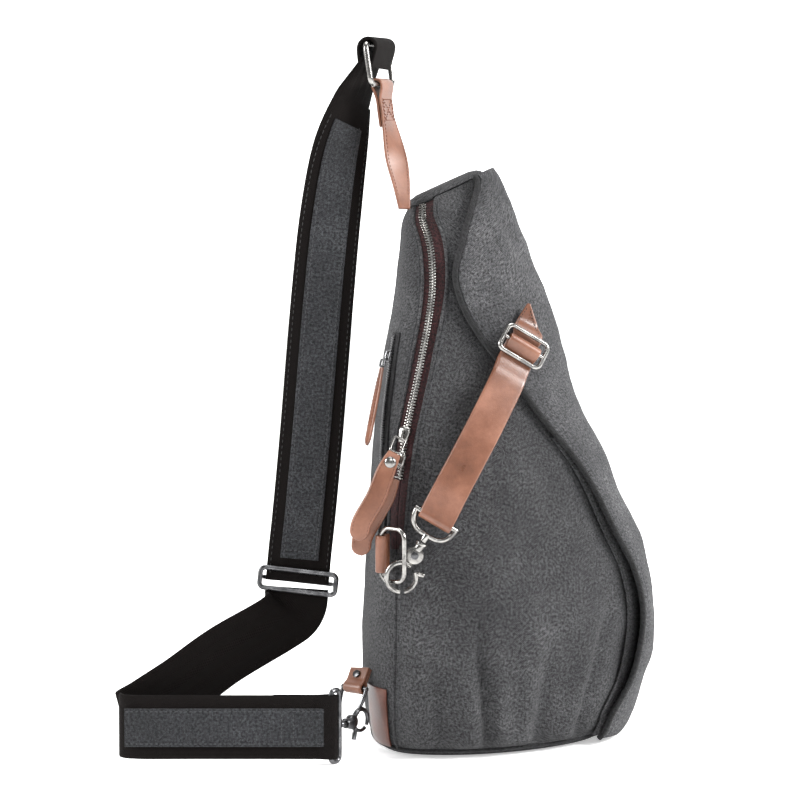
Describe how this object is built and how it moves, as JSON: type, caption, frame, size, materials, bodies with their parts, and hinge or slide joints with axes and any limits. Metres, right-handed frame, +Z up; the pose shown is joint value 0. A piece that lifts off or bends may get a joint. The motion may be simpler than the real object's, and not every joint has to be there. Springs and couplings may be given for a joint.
{
  "type": "sling bag",
  "caption": "Tall tapering canvas sling bag with a wrap-round front flap, side zip, webbing shoulder strap, leather tabs and metal swivel snap hooks.",
  "frame": {"origin": "Bottom centre of the bag's box: on the floor under the middle of the bag and its strap", "axes": "+Z up from the base to the shoulder strap's ring; +X towards the front flap; the main zip and the snap hook are on the -Y side"},
  "size_m": [0.3844, 0.2286, 0.506],
  "materials": {
    "canvas": "washed plain-weave cotton canvas",
    "canvas_light": "worn, lighter washed canvas",
    "piping_fabric": "bias-cut binding",
    "webbing_fabric": "ribbed cotton webbing",
    "tape_fabric": "woven zip tape",
    "lining_cloth": "thin plain lining",
    "foam": "closed-cell foam",
    "board": "fibre board",
    "leather": "waxed tan leather",
    "dark_leather": "waxed dark brown leather",
    "nickel": "antique nickel plate",
    "gunmetal": "dark nickel plate"
  },
  "bodies": {
    "bag": {"back_panel": "canvas", "front_shell": "canvas", "base_panel": "canvas", "top_panel": "canvas", "front_pocket_panel": "canvas_light", "back_foam": "foam", "base_board": "board", "lining": "lining_cloth", "zip_tape_back": "tape_fabric", "zip_tape_front": "tape_fabric", "zip_teeth": "nickel", "zip_end_cap": "piping_fabric", "back_zip_tape": "piping_fabric", "back_zip_teeth": "gunmetal", "top_tab": "leather", "shoulder_webbing": "webbing_fabric", "shoulder_strip": "canvas_light", "lower_webbing": "webbing_fabric", "lower_strip": "canvas_light", "side_loop": "dark_leather", "corner_patch": "dark_leather", "lower_loop": "leather", "lower_loop_rivet": "gunmetal"},
    "flap": {"front_flap": "canvas_light", "flap_piping": "piping_fabric", "flap_patch": "leather"},
    "strap": {"flap_buckle": "nickel", "flap_strap": "leather"},
    "eye": {"hook_eye": "nickel"},
    "hook": {"hook_body": "nickel", "hook_rivet": "gunmetal"},
    "gate": {"hook_gate": "nickel"},
    "side_ring": {"side_ring": "nickel"},
    "slider_main": {"slider_main": "nickel"},
    "pull_main": {"pull_main_ring": "nickel", "pull_main_tag": "leather", "pull_main_rivet": "nickel"},
    "slider_second": {"slider_second": "nickel"},
    "pull_second": {"pull_second_ring": "nickel", "pull_second_tag": "leather"},
    "slider_back": {"slider_back": "gunmetal"},
    "pull_back": {"pull_back_ring": "gunmetal", "pull_back_tag": "leather"},
    "top_ring": {"top_ring": "nickel"},
    "tri_glide": {"tri_glide": "gunmetal"},
    "end_ring": {"end_ring": "gunmetal"},
    "lower_hook": {"lower_hook_body": "gunmetal"},
    "lower_gate": {"lower_hook_gate": "gunmetal"},
    "d_ring": {"d_ring": "gunmetal"}
  },
  "joints": [
    {"name": "flap_open", "type": "hinge", "parent": "bag", "child": "flap", "pos_m": [0.0621, 0.1055, 0.16], "axis": [0, -0.2199, 0.9755], "range_deg": [0, 70]},
    {"name": "strap_lift", "type": "hinge", "parent": "flap", "child": "strap", "pos_m": [0.0973, -0.0591, 0.2963], "axis": [-0.8415, -0.1768, 0.5106], "range_deg": [0, 90]},
    {"name": "eye_swing", "type": "hinge", "parent": "strap", "child": "eye", "pos_m": [0.0311, -0.1045, 0.1714], "axis": [-0.8601, 0, 0.5101], "range_deg": [0, 1.2]},
    {"name": "hook_swivel", "type": "hinge", "parent": "eye", "child": "hook", "pos_m": [0.0217, -0.1045, 0.1555], "axis": [-0.5101, 0, -0.8601], "range_deg": [-4, 2]},
    {"name": "hook_gate_open", "type": "hinge", "parent": "hook", "child": "gate", "pos_m": [0.017, -0.1045, 0.1337], "axis": [0, 1, 0], "range_deg": [0, 12], "stiffness_Nm_per_rad": 0.02, "springref_deg": -11.46},
    {"name": "side_ring_swing", "type": "hinge", "parent": "bag", "child": "side_ring", "pos_m": [-0.0069, -0.0955, 0.146], "axis": [0, 0, 1], "range_deg": [-1, 2]},
    {"name": "zip_main_slide", "type": "slide", "parent": "bag", "child": "slider_main", "axis": [0.1861, 0.1221, 0.9749], "range_m": [0, 0.04]},
    {"name": "pull_main_swing", "type": "hinge", "parent": "slider_main", "child": "pull_main", "pos_m": [0.0062, -0.0841, 0.2256], "axis": [-0.8837, 0.4545, 0.1117], "range_deg": [0, 120]},
    {"name": "zip_second_slide", "type": "slide", "parent": "bag", "child": "slider_second", "axis": [0.115, 0.1161, 0.9866], "range_m": [-0.005, 0.003]},
    {"name": "pull_second_swing", "type": "hinge", "parent": "slider_second", "child": "pull_second", "pos_m": [0.0034, -0.0858, 0.2079], "axis": [0.5162, 0.8415, -0.1592], "range_deg": [0, 60]},
    {"name": "zip_back_slide", "type": "slide", "parent": "bag", "child": "slider_back", "axis": [0.1328, 0.1981, 0.9711], "range_m": [-0.04, 0.004]},
    {"name": "pull_back_swing", "type": "hinge", "parent": "slider_back", "child": "pull_back", "pos_m": [-0.0057, -0.0551, 0.2786], "axis": [-0.412, 0.9022, -0.1277], "range_deg": [0, 120]},
    {"name": "top_ring_swing", "type": "hinge", "parent": "bag", "child": "top_ring", "pos_m": [-0.0069, -0.0005, 0.472], "axis": [0.3011, 0.9536, 0], "range_deg": [-1.5, 3]},
    {"name": "tri_glide_slide", "type": "slide", "parent": "bag", "child": "tri_glide", "axis": [0.1099, 0.0999, 0.9889], "range_m": [0, 0.007]},
    {"name": "end_ring_swing", "type": "hinge", "parent": "bag", "child": "end_ring", "pos_m": [-0.0419, -0.1095, 0.027], "axis": [0, 0, 1], "range_deg": [-8, 1]},
    {"name": "lower_hook_swivel", "type": "hinge", "parent": "end_ring", "child": "lower_hook", "pos_m": [-0.0322, -0.0974, 0.027], "axis": [0.6222, 0.7828, 0], "range_deg": [-5, 12]},
    {"name": "lower_gate_open", "type": "hinge", "parent": "lower_hook", "child": "lower_gate", "pos_m": [-0.0252, -0.0885, 0.0219], "axis": [-0.7828, 0.6222, 0], "range_deg": [0, 25], "stiffness_Nm_per_rad": 0.02, "springref_deg": -11.46},
    {"name": "d_ring_swing", "type": "hinge", "parent": "bag", "child": "d_ring", "pos_m": [-0.0259, -0.0685, 0.047], "axis": [0.7507, -0.6606, 0], "range_deg": [-8, 8]}
  ]
}
